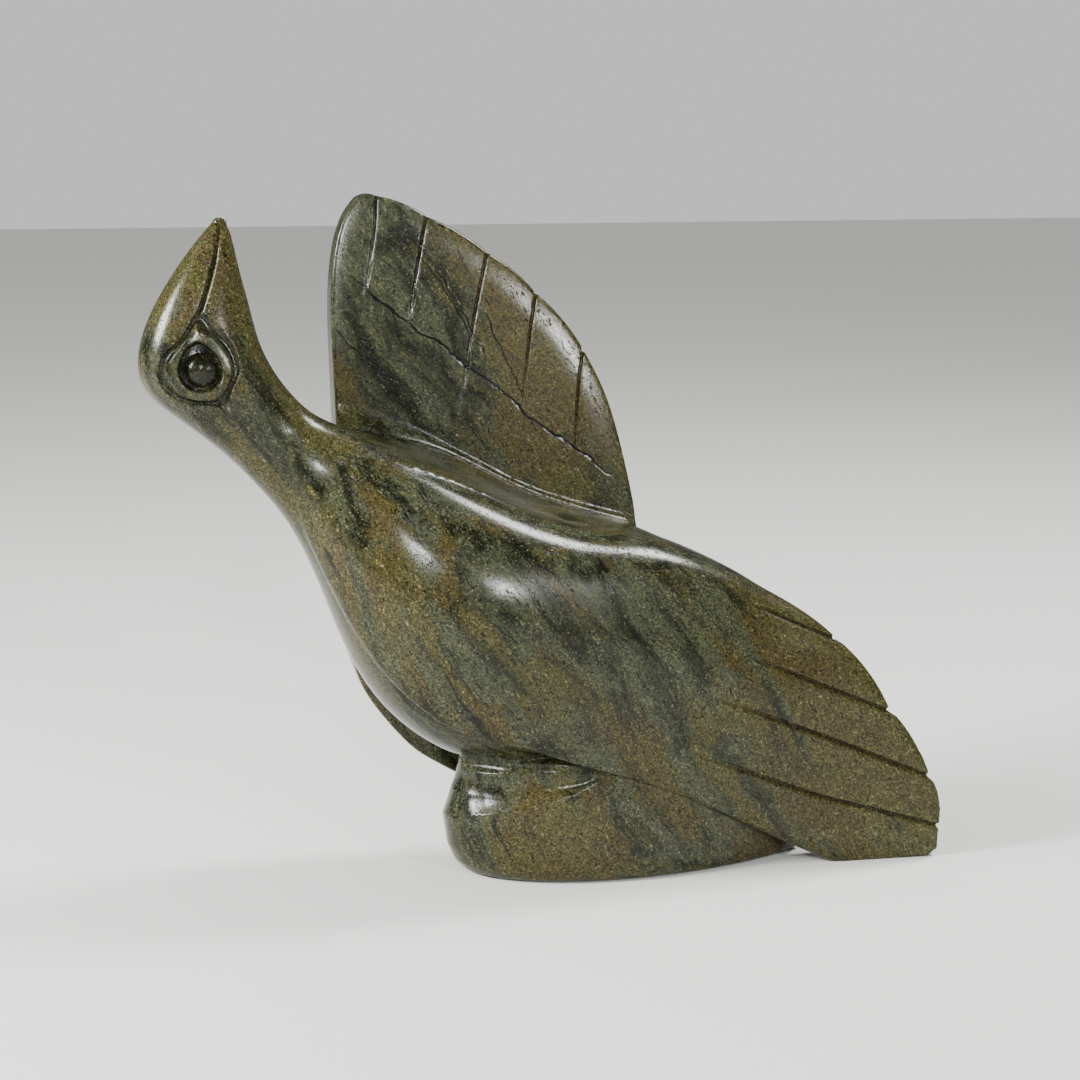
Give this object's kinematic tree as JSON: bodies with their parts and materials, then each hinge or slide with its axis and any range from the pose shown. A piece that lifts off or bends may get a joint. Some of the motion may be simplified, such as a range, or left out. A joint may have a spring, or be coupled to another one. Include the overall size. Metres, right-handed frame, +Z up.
{
  "type": "serpentine bird sculpture",
  "caption": "Polished serpentine carving of a bird with lifted beak, a folded wing and a raised wing, cut in one with its rounded base, to stand on a shelf or table.",
  "frame": {"origin": "on the ground, under the middle of the bird's bounding box", "axes": "+Z up, +X from the beak towards the tail, +Y towards the raised wing"},
  "size_m": [0.3916, 0.116, 0.3301],
  "materials": {
    "serpentine": "gloss"
  },
  "bodies": {
    "root": {"bird": "serpentine"}
  },
  "joints": []
}
